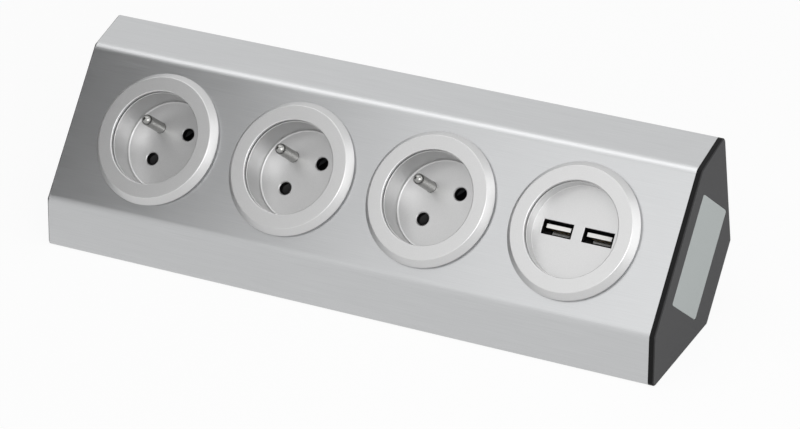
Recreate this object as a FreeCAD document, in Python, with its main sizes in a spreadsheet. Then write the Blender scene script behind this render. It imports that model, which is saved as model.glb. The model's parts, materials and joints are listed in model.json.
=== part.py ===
import FreeCAD, Part
import math
import os
from types import SimpleNamespace

import Sketcher

# Corner power strip: a folded metal cover, a rear base, two end caps, three earthed sockets
# and one double USB charger. The frame has +X along the strip, +Y towards the wall behind it
# and +Z up, with its origin under the middle of the strip. In the slanted face's own frame,
# x runs along the strip, y up the slope and z out of the face.

SOCKET_COUNT = 3
MODULE_COUNT = SOCKET_COUNT + 1

# How the room that the rings leave on the cover is shared out: at either end and between them
END_SHARE = 149
RING_SHARE = 80

SIZES = {
    # section of the housing
    "section_side": 75.0,
    "lip_rise": 21.4,
    "lip_lean": 4.1,
    "base_length": 283.8,
    "cover_lap": 2.0,
    "sheet_thickness": 1.5,
    "fold_radius": 2.0,
    "cover_return": 8.0,
    "base_wall": 3.0,
    "base_edge_radius": 1.0,
    "seam_gap": 0.1,
    "ledge_length": 4.5,
    # end caps
    "cap_thickness": 2.6,
    "cap_edge_chamfer": 0.5,
    "cap_rib_depth": 6.0,
    "cap_rib_wall": 2.0,
    "cap_clearance": 0.2,
    "cap_boss_length": 11.0,
    "cap_boss_side": 8.0,
    "cap_screw_inset": 7.0,
    "cap_screw_height": 42.0,
    "cap_screw_length": 10.0,
    # screws
    "screw_radius": 1.5,
    "screw_head_radius": 2.8,
    "screw_head_height": 2.0,
    "screw_slot_width": 0.8,
    "screw_slot_depth": 0.8,
    "thread_clearance": 0.05,
    "screw_clearance": 0.2,
    # hangers in the rear wall
    "hanger_spacing": 200.0,
    "hanger_height": 50.0,
    "hanger_entry_radius": 4.25,
    "hanger_slot_radius": 2.1,
    "hanger_slot_rise": 8.0,
    "hanger_room": 2.8,
    "hanger_wall": 1.2,
    "hanger_margin": 1.6,
    # cable inlet in the rear chamfer
    "inlet_distance": 25.0,
    "inlet_radius": 6.0,
    "inlet_bore_radius": 4.3,
    "grommet_clearance": 0.1,
    "grommet_flange_radius": 8.5,
    "grommet_flange_thickness": 1.5,
    # rating plate on the right end cap
    "plate_length": 46.5,
    "plate_width": 26.5,
    "plate_thickness": 0.3,
    "plate_up_slope": 3.9,
    "plate_behind_face": 20.8,
    "plate_clearance": 0.1,
    # row of modules
    "socket_angle": 45.0,
    "cutout_clearance": 0.5,
    # trim ring
    "ring_radius": 29.0,
    "ring_lift": 0.2,
    "ring_edge": 0.8,
    "ring_bevel": 2.5,
    "plateau_height": 4.4,
    "mouth_radius": 20.3,
    "ring_wall": 1.3,
    "ring_clearance": 0.2,
    "mouth_groove": 1.0,
    # socket cup
    "cup_radius": 20.0,
    "cup_depth": 15.0,
    "cup_wall": 1.5,
    "cup_floor": 3.2,
    "cup_flange_inset": 2.2,
    "cup_flange_thickness": 1.2,
    "boss_radius": 3.5,
    "thread_cover": 1.4,
    # plug pins
    "pin_spacing": 19.0,
    "pin_radius": 2.4,
    "pin_length": 19.0,
    "pin_hole_radius": 2.75,
    "earth_offset": 10.0,
    "earth_pin_length": 14.8,
    "earth_hole_clearance": 0.1,
    # shutter and its spring
    "shutter_clearance": 0.2,
    "shutter_height": 5.0,
    "shutter_half_width": 3.4,
    "shutter_crest": 0.8,
    "shutter_foot": 0.8,
    "shutter_hub_wall": 0.9,
    "shutter_room": 6.8,
    "peg_radius": 0.8,
    "peg_drop": 2.5,
    "spring_radius": 5.0,
    "spring_wire_radius": 0.3,
    "spring_leg": 4.5,
    "spring_clearance": 0.05,
    # carrier behind the cup
    "carrier_clearance": 0.3,
    "carrier_wall": 2.5,
    "carrier_flange_inset": 1.5,
    "carrier_flange_thickness": 2.0,
    "deck_thickness": 1.8,
    "deck_hole_clearance": 0.6,
    "chamber_wall": 2.0,
    "chamber_clearance": 0.2,
    "lid_thickness": 1.5,
    # contacts
    "leaf_thickness": 0.8,
    "leaf_width": 6.0,
    "pin_clearance": 0.05,
    "pin_end_clearance": 0.8,
    "contact_clearance": 0.3,
    "bridge_thickness": 1.0,
    "terminal_radius": 3.4,
    "terminal_height": 1.8,
    "earth_arm_thickness": 2.0,
    "earth_arm_width": 4.4,
    "earth_terminal_offset": 5.0,
    # wires
    "wire_radius": 1.4,
    "wire_clearance": 0.2,
    "wire_spread": 1.9,
    "wire_drop": 6.2,
    "wire_bend": 4.5,
    "wire_room": 3.435,
    # USB charger
    "can_room": 0.8,
    "usb_recess": 7.5,
    "usb_floor": 2.0,
    "usb_pitch": 18.4,
    "port_width": 12.5,
    "port_height": 5.12,
    "port_wall": 0.4,
    "port_length": 14.0,
    "port_setback": 0.3,
    "port_clearance": 0.1,
    "tongue_width": 11.1,
    "tongue_thickness": 1.84,
    "tongue_offset": 0.7,
    "tongue_setback": 1.0,
    "tongue_length": 9.0,
    "board_half_width": 18.5,
    "board_thickness": 1.6,
    "board_clearance": 0.3,
    "terminal_block_depth": 8.0,
    "terminal_block_margin": 0.6,
    "transformer_width": 14.0,
    "transformer_height": 12.0,
    "transformer_depth": 14.0,
    "transformer_shift": 1.5,
    "transformer_setback": 4.6,
    "capacitor_radius": 3.2,
    "capacitor_height": 10.0,
    "capacitor_shift": 11.5,
    "capacitor_setback": 6.1,
    "capacitor_pitch": 9.0,
    "chip_side": 6.0,
    "chip_height": 1.4,
    "chip_setback": 0.8,
    "usb_screw_offset": 13.0,
    "usb_boss_length": 5.0,
    "usb_post_radius": 2.8,
    # earth bond on the cover
    "bond_base_radius": 2.5,
    "bond_base_height": 1.0,
    "bond_stud_length": 7.5,
    "lug_radius": 3.3,
    "lug_thickness": 0.8,
    "lug_reach": 5.2,
    "lug_barrel_radius": 1.9,
    "lug_barrel_length": 7.5,
    "nut_radius": 3.1,
    "nut_height": 2.4,
}


class Size:
    """A length or an angle that knows both its value and the formula that gives it in the sheet's terms."""

    def __init__(self, value, text):
        self.value = value
        self.text = text

    @staticmethod
    def of(thing):
        return thing if isinstance(thing, Size) else Size(float(thing), repr(thing))

    def __str__(self):
        return self.text

    def __add__(self, other):
        other = Size.of(other)
        return Size(self.value + other.value, f"({self} + {other})")

    def __sub__(self, other):
        other = Size.of(other)
        return Size(self.value - other.value, f"({self} - {other})")

    def __mul__(self, other):
        other = Size.of(other)
        return Size(self.value * other.value, f"({self} * {other})")

    def __truediv__(self, other):
        other = Size.of(other)
        return Size(self.value / other.value, f"({self} / {other})")

    def __radd__(self, other):
        return Size.of(other) + self

    def __rsub__(self, other):
        return Size.of(other) - self

    def __rmul__(self, other):
        return Size.of(other) * self

    def __neg__(self):
        return Size(-self.value, f"(0 - {self})")


def root(size):
    return Size(math.sqrt(size.value), f"sqrt({size})")


def cosine(angle):
    return Size(math.cos(math.radians(angle.value)), f"cos({angle})")


def sine(angle):
    return Size(math.sin(math.radians(angle.value)), f"sin({angle})")


doc = FreeCAD.newDocument("corner_power_strip")
sheet = doc.addObject("Spreadsheet::Sheet", "Sizes")
for row, (alias, number) in enumerate(SIZES.items(), start=1):
    sheet.set(f"A{row}", alias)
    sheet.set(f"B{row}", str(number))
    sheet.setAlias(f"B{row}", alias)
doc.recompute()

s = SimpleNamespace(**{alias: Size(float(sheet.get(alias)), f"Sizes.{alias}") for alias in SIZES})
nodes = {}
chains = {}


# Ways of building

def bind(thing, **formulas):
    """Ties properties of an object to sizes."""
    for name, formula in formulas.items():
        thing.setExpression(name, str(formula))
    return thing


def spot(x=0, y=0, z=0, axis=(0, 0, 1), turn=0):
    """A placement formula: a point, and a turn about an axis through it."""
    a, b, c = axis
    return f"placement(vector({x}; {y}; {z}); rotation(vector({a}; {b}; {c}); {turn}))"


def put(thing, *spots):
    """Carries an object, from where it is, by a chain of placement formulas, the outermost one first."""
    chains[thing.Name] = [*spots, *chains.get(thing.Name, [])]
    thing.setExpression("Placement", " * ".join(chains[thing.Name]))
    return thing


def keep(label, thing, *spots):
    """Gives a finished sub-part its name and its place."""
    thing.Label = label
    if spots:
        put(thing, *spots)
    nodes[label] = thing
    return thing


def rod(x, y, low, high, radius):
    """A round bar along Z."""
    bar = bind(doc.addObject("Part::Cylinder", "rod"), Radius=radius, Height=Size.of(high) - low)
    return put(bar, spot(x, y, low))


def rod_to(x, y, z, axis, turn, length, radius):
    """A round bar that starts at a point and runs along Z turned about an axis."""
    bar = bind(doc.addObject("Part::Cylinder", "rod"), Radius=radius, Height=length)
    return put(bar, spot(x, y, z, axis, turn))


def block(x, y, z):
    """A box between a low and a high value on each axis."""
    box = doc.addObject("Part::Box", "block")
    bind(box, Length=Size.of(x[1]) - x[0], Width=Size.of(y[1]) - y[0], Height=Size.of(z[1]) - z[0])
    return put(box, spot(x[0], y[0], z[0]))


def around(centre, half):
    """The low and high values of a stretch about a centre."""
    return Size.of(centre) - half, Size.of(centre) + half


def fuse(*shapes):
    joined = doc.addObject("Part::MultiFuse", "joined")
    joined.Shapes = list(shapes)
    joined.Refine = True
    return joined


def cut(base, *tools):
    """Takes the tools away from the base."""
    left = doc.addObject("Part::Cut", "left")
    left.Base = base
    left.Tool = tools[0] if len(tools) == 1 else fuse(*tools)
    left.Refine = True
    return left


def common(*shapes):
    """What all the shapes share."""
    shared = doc.addObject("Part::MultiCommon", "shared")
    shared.Shapes = list(shapes)
    shared.Refine = True
    return shared


def group(*shapes):
    """Several solids in one node."""
    together = doc.addObject("Part::Compound", "together")
    together.Links = list(shapes)
    return together


def new_body(name):
    return doc.addObject("PartDesign::Body", name)


def outline(body, role, points, height=0):
    """A closed outline of straight lines on one of a body's own planes, raised by a height."""
    sketch = body.newObject("Sketcher::SketchObject", "outline")
    plane = [feature for feature in body.Origin.OriginFeatures if feature.Role == role][0]
    sketch.AttachmentSupport = [(plane, "")]
    sketch.MapMode = "FlatFace"
    bind(sketch, **{"AttachmentOffset.Base.z": height})
    corners = [(Size.of(a), Size.of(b)) for a, b in points]
    vectors = [FreeCAD.Vector(a.value, b.value, 0) for a, b in corners]
    for start, end in zip(vectors, vectors[1:] + vectors[:1]):
        sketch.addGeometry(Part.LineSegment(start, end), False)
    for line in range(len(corners)):
        sketch.addConstraint(Sketcher.Constraint("Coincident", line, 2, (line + 1) % len(corners), 1))
    for line, corner in enumerate(corners):
        for kind, size in zip(("DistanceX", "DistanceY"), corner):
            index = sketch.addConstraint(Sketcher.Constraint(kind, -1, 1, line, 1, size.value))
            sketch.setExpression(f"Constraints[{index}]", str(size))
    return sketch


def pad(body, sketch, length, backwards=False, both_ways=False):
    raised = body.newObject("PartDesign::Pad", "pad")
    raised.Profile = sketch
    raised.Reversed = backwards
    raised.Midplane = both_ways
    return bind(raised, Length=length)


def pocket(body, sketch, length, backwards=False):
    sunk = body.newObject("PartDesign::Pocket", "pocket")
    sunk.Profile = sketch
    sunk.Reversed = backwards
    return bind(sunk, Length=length)


def turned(name, points):
    """A body turned about its Z axis from an outline of radius and height."""
    body = new_body(name)
    sketch = outline(body, "XZ_Plane", points)
    revolution = body.newObject("PartDesign::Revolution", "revolution")
    revolution.Profile = sketch
    revolution.ReferenceAxis = (sketch, ["V_Axis"])
    revolution.Angle = 360
    return body


def long_edges(shape, corners):
    """The names of the edges along X that pass through the given corners of the section."""
    names = []
    for number, edge in enumerate(shape.Edges, start=1):
        start, end = (vertex.Point for vertex in edge.Vertexes)
        along = abs(start.y - end.y) < 1e-6 and abs(start.z - end.z) < 1e-6
        if along and any(math.hypot(start.y - y.value, start.z - z.value) < 1e-3 for y, z in corners):
            names.append(f"Edge{number}")
    return names


def rounded(body, corners, radius):
    """Rounds the long edges at some corners of a body that has the strip's section."""
    doc.recompute()
    base = body.Tip
    fillet = body.newObject("PartDesign::Fillet", "fillet")
    fillet.Base = (base, long_edges(base.Shape, corners))
    return bind(fillet, Radius=radius)


def screw_slot(head_end):
    """The driver's slot in a screw's head that ends at a height."""
    wide = around(0, s.screw_head_radius)
    return block(wide, around(0, s.screw_slot_width / 2), (head_end, head_end + s.screw_slot_depth))


def screw(length):
    """A screw along Z, from the seat of its head at zero up to the end of its thread."""
    head_end = -s.screw_head_height
    bar = fuse(rod(0, 0, 0, length, s.screw_radius), rod(0, 0, head_end, 0, s.screw_head_radius))
    return cut(bar, screw_slot(head_end))


# Section of the housing, in Y and Z

half_length = s.base_length / 2
cover_length = s.base_length + s.cover_lap
cover_start = -half_length - s.cover_lap
diagonal = root(Size.of(2))
lip_length = root(s.lip_rise * s.lip_rise + s.lip_lean * s.lip_lean)
rounding = s.fold_radius * (lip_length + s.lip_lean) / s.lip_rise - s.fold_radius
middle = (s.section_side + rounding) / 2
rear = s.section_side - middle
lip_step = s.lip_rise - s.lip_lean
bridge_depth = s.cup_depth - s.plateau_height + s.pin_length + s.pin_end_clearance
wire_depth = (
    bridge_depth + s.bridge_thickness + s.terminal_height + s.wire_drop + s.wire_radius + s.wire_room
)
rear_chamfer = s.section_side + lip_step - (wire_depth + s.base_wall) * diagonal


def mirrored(point):
    """The same point on the other side of the section's diagonal."""
    y, z = point
    return s.section_side - z, s.section_side - y


def section(cover_inset, base_inset):
    """The section's six corners, moved in by one distance at the cover and another at the base."""
    face = lip_step - cover_inset * diagonal
    front_y = (cover_inset * lip_length + base_inset * s.lip_lean) / s.lip_rise
    fold_y = (cover_inset * lip_length + s.lip_lean * face) / lip_step
    front = (front_y, base_inset)
    fold = (fold_y, fold_y + face)
    heel = (s.section_side - rear_chamfer - base_inset * diagonal + base_inset, base_inset)
    return [front, fold, mirrored(fold), mirrored(front), mirrored(heel), heel]


def centred(points):
    """Moves section points from the front corner, which rounding cuts back, to the part's origin."""
    return [(y - middle, z) for y, z in points]


outer = section(Size.of(0), Size.of(0))
front_corner, lower_fold, upper_fold, top_corner, rear_heel, bottom_heel = outer
face_y = (lower_fold[0] + upper_fold[0]) / 2 - middle
face_z = (lower_fold[1] + upper_fold[1]) / 2
SLOPE = 45
spare = cover_length - s.ring_radius * (2 * MODULE_COUNT)
share = spare / (END_SHARE * 2 + RING_SHARE * (MODULE_COUNT - 1))
first_centre = s.ring_radius + share * END_SHARE
module_pitch = s.ring_radius * 2 + share * RING_SHARE


def centre_x(index):
    """Where a module of the row stands along the strip."""
    return cover_start + first_centre + module_pitch * index


def face_at(x, y=0, z=0):
    """The slanted face's own frame at a distance along the strip."""
    return spot(x, face_y, face_z, (1, 0, 0), SLOPE) + " * " + spot(0, y, z)


def socket_at(index):
    """A socket's own frame: its pins lie along X and its earth pin up Y."""
    return face_at(centre_x(index)) + " * " + spot(turn=s.socket_angle)


# Heights in the frame of the slanted face

sheet_back = -s.sheet_thickness
ring_seat_height = s.plateau_height - s.ring_wall + s.ring_clearance
rim_height = ring_seat_height - s.mouth_groove
plateau_radius = s.ring_radius - s.ring_bevel
cup_outer = s.cup_radius + s.cup_wall
cup_flange_radius = s.ring_radius - s.cup_flange_inset
carrier_flange_radius = s.ring_radius - s.carrier_flange_inset
floor_top = s.plateau_height - s.cup_depth
floor_back = floor_top - s.cup_floor
deck_top = floor_back - s.shutter_room
deck_back = deck_top - s.deck_thickness
bridge_top = floor_top - s.pin_length - s.pin_end_clearance
bridge_low = bridge_top - s.bridge_thickness
terminal_end = bridge_low - s.terminal_height
chamber_end = terminal_end - s.contact_clearance
lid_back = chamber_end - s.lid_thickness
thread_top = floor_top - s.thread_cover
pin_offset = s.pin_spacing / 2
carrier_bore = cup_outer + s.carrier_clearance
carrier_radius = carrier_bore + s.carrier_wall
chamber_half = s.terminal_radius + s.chamber_clearance
wire_hole_radius = s.wire_radius + s.wire_clearance
screw_hole_radius = s.screw_radius + s.screw_clearance
thread_radius = s.screw_radius + s.thread_clearance
usb_floor_top = s.plateau_height - s.usb_recess
usb_floor_back = usb_floor_top - s.usb_floor
boss_end = usb_floor_back - s.usb_boss_length
earth_terminal_y = s.earth_offset + s.earth_terminal_offset
pin_sides = {"live": 1, "neutral": -1}


# Housing

def sheet_outline(room):
    """The section of the sheet with its two short returns, or of a space with room for it."""
    depth = s.sheet_thickness + room
    inner = section(depth, depth)
    lower_end = (s.cover_return + room, Size.of(0))
    inside_end = (s.cover_return + room, depth)
    ends = [mirrored(lower_end), mirrored(inside_end)]
    return [lower_end, *outer[:4], *ends, *inner[3::-1], inside_end]


def front_cover():
    """A folded sheet: a lower lip, the slanted face, an upper lip and two short returns."""
    inner = section(s.sheet_thickness, s.sheet_thickness)
    body = new_body("cover_sheet")
    profile = centred(sheet_outline(Size.of(0)))
    pad(body, outline(body, "YZ_Plane", profile, cover_start), cover_length)
    rounded(body, centred(outer[:4]), s.fold_radius)
    rounded(body, centred(inner[:4]), s.fold_radius - s.sheet_thickness)
    low = -s.sheet_thickness * 2
    holes = []
    for index in range(MODULE_COUNT):
        hole = rod(0, 0, low, s.sheet_thickness, cup_outer + s.cutout_clearance)
        holes.append(put(hole, face_at(centre_x(index))))
    keep("front_cover", cut(body, *holes))


def rear_base():
    """A three-sided plastic channel whose ledges lie inside the returns of the cover."""
    edge = s.cover_return + s.seam_gap
    ledge_start = edge - s.ledge_length
    ledge_low = s.sheet_thickness + s.seam_gap
    inner = section(s.base_wall, s.base_wall)
    half = [(ledge_start, s.base_wall), (ledge_start, ledge_low), (edge, ledge_low), (edge, Size.of(0))]
    other_half = [mirrored(point) for point in half[::-1]]
    profile = [inner[5], *half, bottom_heel, rear_heel, *other_half, inner[4]]
    body = new_body("base_channel")
    pad(body, outline(body, "YZ_Plane", centred(profile)), s.base_length, both_ways=True)
    rounded(body, centred([rear_heel, bottom_heel]), s.base_edge_radius)
    wall_inside = rear - s.base_wall
    rooms, openings = [], []
    for side in (-1, 1):
        x = s.hanger_spacing / 2 * side
        low = s.hanger_height - s.hanger_entry_radius - s.hanger_margin
        high = s.hanger_height + s.hanger_slot_rise + s.hanger_slot_radius + s.hanger_margin
        half_width = s.hanger_entry_radius + s.hanger_margin
        wall = s.hanger_wall
        deep = wall_inside - s.hanger_room
        shell = (deep - wall, wall_inside), (low - wall, high + wall)
        rooms.append(block(around(x, half_width + wall), *shell))
        openings.append(block(around(x, half_width), (deep, wall_inside), (low, high)))
        entry = s.hanger_height
        slot_top = entry + s.hanger_slot_rise
        for z, radius in ((entry, s.hanger_entry_radius), (slot_top, s.hanger_slot_radius)):
            openings.append(rod_to(x, rear, z, (1, 0, 0), 90, s.base_wall, radius))
        slot = (wall_inside, rear), (entry, slot_top)
        openings.append(block(around(x, s.hanger_slot_radius), *slot))
    inlet = put(rod(0, 0, -s.base_wall * 2, s.base_wall, s.inlet_radius), inlet_spot())
    spots = [*cap_screw_spots(-1), *cap_screw_spots(1)]
    sinks = [put(countersink(screw_hole_radius, s.screw_clearance), where) for where in spots]
    keep("rear_base", cut(fuse(body, *rooms), inlet, *openings, *sinks))


def inlet_spot():
    """The frame of the cable inlet: out of the rear chamfer along Z."""
    half = rear_chamfer / 2
    return spot(s.inlet_distance - half_length, rear - half, half, (1, 0, 0), 225)


def cap_screw_spots(side):
    """Where one cap's screws start, on the rear wall and under the bottom wall, pointing inwards."""
    x = (half_length - s.cap_screw_inset) * side
    return [
        spot(x, rear, s.cap_screw_height, (1, 0, 0), 90),
        spot(x, rear - s.cap_screw_height, 0),
    ]


def countersink(shank_radius, clearance=0):
    """A countersunk screw's shape from its flat head at zero into the material."""
    cone = doc.addObject("Part::Cone", "cone")
    wide = s.screw_head_radius + clearance
    bind(cone, Radius1=wide, Radius2=shank_radius, Height=wide - shank_radius)
    return fuse(cone, rod(0, 0, 0, s.cap_screw_length, shank_radius))


def cap_screws():
    screws = []
    for where in [*cap_screw_spots(-1), *cap_screw_spots(1)]:
        screws.append(put(cut(countersink(s.screw_radius), screw_slot(Size.of(0))), where))
    keep("cap_screws", group(*screws))


def lap_space():
    """The rebate in the left end cap that the cover laps over, so only a thin lip shows."""
    body = new_body("lap")
    profile = centred(sheet_outline(s.cap_clearance))
    pad(body, outline(body, "YZ_Plane", profile, cover_start), s.cover_lap)
    return body


def end_cap(name, side):
    """A flush plate with a rib that fits inside the housing and two bosses for its screws."""
    body = new_body(name + "_body")
    start = half_length * side
    pad(body, outline(body, "YZ_Plane", centred(outer), start), s.cap_thickness, backwards=side < 0)
    rounded(body, centred(outer[:4]), s.fold_radius)
    rounded(body, centred(outer[4:]), s.base_edge_radius)
    doc.recompute()
    base = body.Tip
    reaches = [face.CenterOfMass.x * side for face in base.Shape.Faces]
    bevel = body.newObject("PartDesign::Chamfer", "bevel")
    bevel.Base = (base, [f"Face{reaches.index(max(reaches)) + 1}"])
    bind(bevel, Size=s.cap_edge_chamfer)
    cover_inset = s.sheet_thickness + s.cap_clearance
    base_inset = s.base_wall + s.cap_clearance
    rib = new_body(name + "_rib")
    rib_outline = outline(rib, "YZ_Plane", centred(section(cover_inset, base_inset)), start)
    pad(rib, rib_outline, s.cap_rib_depth, backwards=side > 0)
    inside = section(cover_inset + s.cap_rib_wall, base_inset + s.cap_rib_wall)
    pocket(rib, outline(rib, "YZ_Plane", centred(inside), start), s.cap_rib_depth, backwards=side < 0)
    ends = sorted([start, start - s.cap_boss_length * side], key=lambda size: size.value)
    high = rear - base_inset
    half = s.cap_boss_side / 2
    bosses = [
        block(ends, (high - s.cap_boss_side, high), around(s.cap_screw_height, half)),
        block(ends, around(rear - s.cap_screw_height, half), (base_inset, base_inset + s.cap_boss_side)),
    ]
    hollows = [
        put(rod(0, 0, 0, s.cap_screw_length + s.screw_clearance, thread_radius), where)
        for where in cap_screw_spots(side)
    ]
    hollows.append(plate_block(s.plate_clearance) if side > 0 else lap_space())
    keep(name, cut(fuse(body, rib, *bosses), *hollows))


def plate_block(clearance=0):
    """The rating plate's box, sunk flush into the right end cap's face."""
    box = block(
        (-s.plate_thickness, 0),
        around(s.plate_up_slope, s.plate_length / 2 + clearance),
        around(-s.plate_behind_face, s.plate_width / 2 + clearance),
    )
    return put(box, face_at(half_length + s.cap_thickness))


def cable_grommet():
    """A rubber sleeve that grips the edge of the inlet from both sides."""
    neck = s.inlet_radius - s.grommet_clearance
    flange = s.grommet_flange_radius
    thick = s.grommet_flange_thickness
    inside = -s.base_wall
    profile = [
        (s.inlet_bore_radius, thick), (flange, thick), (flange, 0), (neck, 0),
        (neck, inside), (flange, inside), (flange, inside - thick), (s.inlet_bore_radius, inside - thick),
    ]
    keep("cable_grommet", turned("grommet", profile), inlet_spot())


# Parts that every module has

def trim_ring(index):
    """A shallow ring over the flange of the insert, a hair above the sheet."""
    wall = s.ring_wall
    seat_inner = cup_outer + s.ring_clearance
    seat_outer = seat_inner + (plateau_radius - seat_inner) / 3
    under = s.plateau_height - wall
    profile = [
        (s.ring_radius, s.ring_lift), (s.ring_radius, s.ring_edge), (plateau_radius, s.plateau_height),
        (s.mouth_radius, s.plateau_height), (s.mouth_radius, ring_seat_height),
        (seat_inner, ring_seat_height), (seat_inner, s.cup_flange_thickness),
        (seat_outer, s.cup_flange_thickness), (seat_outer, under),
        (plateau_radius - wall / 2, under), (s.ring_radius - wall, s.ring_lift),
    ]
    keep(f"trim_ring_{index + 1}", turned("ring", profile), face_at(centre_x(index)))


def insert_profile(top, back):
    """Radius and height of a cup with a flange, from the middle of its floor round to its back."""
    return [
        (0, top), (s.cup_radius, top), (s.cup_radius, rim_height), (cup_outer, rim_height),
        (cup_outer, s.cup_flange_thickness), (cup_flange_radius, s.cup_flange_thickness),
        (cup_flange_radius, 0), (cup_outer, 0), (cup_outer, back),
    ]


# Sockets

def socket_cup(index):
    """The recess that a plug enters, with the boss that the shutter turns on."""
    boss = [
        (s.boss_radius, floor_back), (s.boss_radius, deck_top), (thread_radius, deck_top),
        (thread_radius, thread_top), (0, thread_top),
    ]
    body = turned("cup", insert_profile(floor_top, floor_back) + boss)
    deep = floor_back, floor_top
    holes = [rod(pin_offset * side, 0, *deep, s.pin_hole_radius) for side in pin_sides.values()]
    holes.append(rod(0, s.earth_offset, *deep, s.pin_radius + s.earth_hole_clearance))
    keep(f"socket_cup_{index + 1}", cut(body, *holes), socket_at(index))


def back_blocks(low, high):
    """The two blocks, across the pins and behind the earth pin, that hold or close the contact chambers."""
    wall = s.chamber_wall
    return [
        block(around(0, pin_offset + chamber_half + wall), around(0, chamber_half + wall), (low, high)),
        block(around(0, chamber_half + wall), (0, earth_terminal_y + chamber_half + wall), (low, high)),
    ]


def contact_carrier(index):
    """The shell behind the cup: it clamps the sheet, carries the shutter's deck and holds the contacts."""
    shell = [
        rod(0, 0, deck_back, sheet_back, carrier_radius),
        rod(0, 0, sheet_back - s.carrier_flange_thickness, sheet_back, carrier_flange_radius),
    ]
    rooms = [
        rod(0, 0, deck_top, sheet_back, carrier_bore),
        rod(0, 0, lid_back, deck_top, screw_hole_radius),
        rod(0, s.earth_offset, deck_back, deck_top, s.pin_radius + s.earth_hole_clearance),
    ]
    chamber = chamber_end, deck_back
    earth_chamber = s.earth_offset - chamber_half, earth_terminal_y + chamber_half
    rooms.append(block(around(0, chamber_half), earth_chamber, chamber))
    for side in pin_sides.values():
        x = pin_offset * side
        rooms.append(rod(x, 0, deck_back, deck_top, s.pin_radius + s.deck_hole_clearance))
        rooms.append(block(around(x, chamber_half), around(0, chamber_half), chamber))
    x, y = post_spot()
    post = rod(x, y, deck_top, spring_height() + s.spring_wire_radius * 3, s.peg_radius)
    hollow = cut(fuse(*shell, *back_blocks(chamber_end, deck_back)), *rooms)
    keep(f"contact_carrier_{index + 1}", fuse(hollow, post), socket_at(index))


def contact_lid(index):
    """The plate that closes the chambers, with two wire holes behind each terminal."""
    along, across = wire_step()
    thick = lid_back, chamber_end
    holes = [rod(0, 0, *thick, screw_hole_radius)]
    for x, y in terminal_spots().values():
        for side in (-1, 1):
            holes.append(rod(x + along * side, y + across * side, *thick, wire_hole_radius))
    keep(f"contact_lid_{index + 1}", cut(fuse(*back_blocks(*thick)), *holes), socket_at(index))


def terminal_spots():
    """Where the terminals stand in the socket's own frame."""
    zero = Size.of(0)
    return {"live": (pin_offset, zero), "neutral": (-pin_offset, zero), "earth": (zero, earth_terminal_y)}


def wire_step():
    """The step from a terminal's middle to one of its wires, along the strip, in the socket's own frame."""
    return s.wire_spread * cosine(s.socket_angle), -(s.wire_spread * sine(s.socket_angle))


def pin_contact(index, name):
    """Two leaves about the plug's pin, joined by a bridge with the terminal behind it."""
    x = pin_offset * pin_sides[name]
    inner = s.pin_radius + s.pin_clearance
    leaf = inner + s.leaf_thickness
    leaf_top = deck_back - s.contact_clearance
    across = around(0, s.leaf_width / 2)
    parts = [
        block((x - leaf, x - inner), across, (bridge_low, leaf_top)),
        block((x + inner, x + leaf), across, (bridge_low, leaf_top)),
        block(around(x, leaf), across, (bridge_low, bridge_top)),
        rod(x, 0, terminal_end, bridge_low, s.terminal_radius),
    ]
    keep(f"{name}_contact_{index + 1}", fuse(*parts), socket_at(index))


def earth_pin(index):
    """The pin that stands in the recess, with a shoulder and an arm to its own terminal."""
    y = s.earth_offset
    tip = floor_top + s.earth_pin_length
    arm_low = deck_back - s.earth_arm_thickness
    dome = bind(doc.addObject("Part::Sphere", "dome"), Radius=s.pin_radius)
    put(dome, spot(0, y, tip - s.pin_radius))
    parts = [
        rod(0, y, arm_low, tip - s.pin_radius, s.pin_radius),
        dome,
        rod(0, y, arm_low, deck_back, s.terminal_radius),
        block(around(0, s.earth_arm_width / 2), (y, earth_terminal_y), (arm_low, deck_back)),
        rod(0, earth_terminal_y, terminal_end, deck_back, s.terminal_radius),
    ]
    keep(f"earth_pin_{index + 1}", fuse(*parts), socket_at(index))


def spring_height():
    """The height of the shutter spring's wire, just above the deck."""
    return deck_top + s.spring_wire_radius + s.spring_clearance


def post_spot():
    """The deck's post, outside the spring's left leg near its end."""
    x = s.spring_radius + s.spring_wire_radius + s.spring_clearance + s.peg_radius
    return -x, -(s.spring_leg - s.spring_wire_radius)


def shutter(index):
    """A two-armed rotor with a ramp behind each pin hole, which a plug's pins press aside."""
    top = floor_back - s.shutter_clearance
    low = top - s.shutter_height
    half = s.shutter_half_width
    bore = s.boss_radius + s.shutter_clearance
    hub = bore + s.shutter_hub_wall
    crest = [(-half, top), (s.shutter_crest - half, top)]
    ramp = [(-half, low), *crest, (half, low + s.shutter_foot), (half, low)]
    arms = []
    for turn in (0, 180):
        arm = new_body("arm")
        pad(arm, outline(arm, "YZ_Plane", ramp), pin_offset + half)
        arms.append(put(arm, spot(turn=turn)))
    peg_x, _ = post_spot()
    peg_low = deck_top + s.shutter_clearance
    peg = rod(-peg_x, -s.peg_drop, peg_low, low, s.peg_radius)
    sleeve = rod(0, 0, deck_top + s.shutter_clearance, top, hub)
    rotor = cut(fuse(*arms, sleeve, peg), rod(0, 0, deck_top, top, bore))
    keep(f"shutter_{index + 1}", rotor, socket_at(index))


def shutter_spring(index):
    """A hairpin spring: half a turn round the boss, a leg on the deck's post and one on the peg."""
    z = spring_height()
    bend = bind(doc.addObject("Part::Torus", "bend"), Radius1=s.spring_radius, Radius2=s.spring_wire_radius)
    bend.Angle3 = 180
    put(bend, spot(0, 0, z))
    legs = []
    for side in (-1, 1):
        x = s.spring_radius * side
        legs.append(rod_to(x, 0, z, (1, 0, 0), 90, s.spring_leg, s.spring_wire_radius))
    keep(f"shutter_spring_{index + 1}", fuse(bend, *legs), socket_at(index))


def socket_screws():
    """One screw behind each socket holds lid, carrier and cup together on the sheet."""
    length = thread_top - lid_back - s.screw_clearance * 2
    screws = [put(screw(length), face_at(centre_x(index), 0, lid_back)) for index in range(SOCKET_COUNT)]
    keep("socket_screws", group(*screws))


# USB charger

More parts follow.
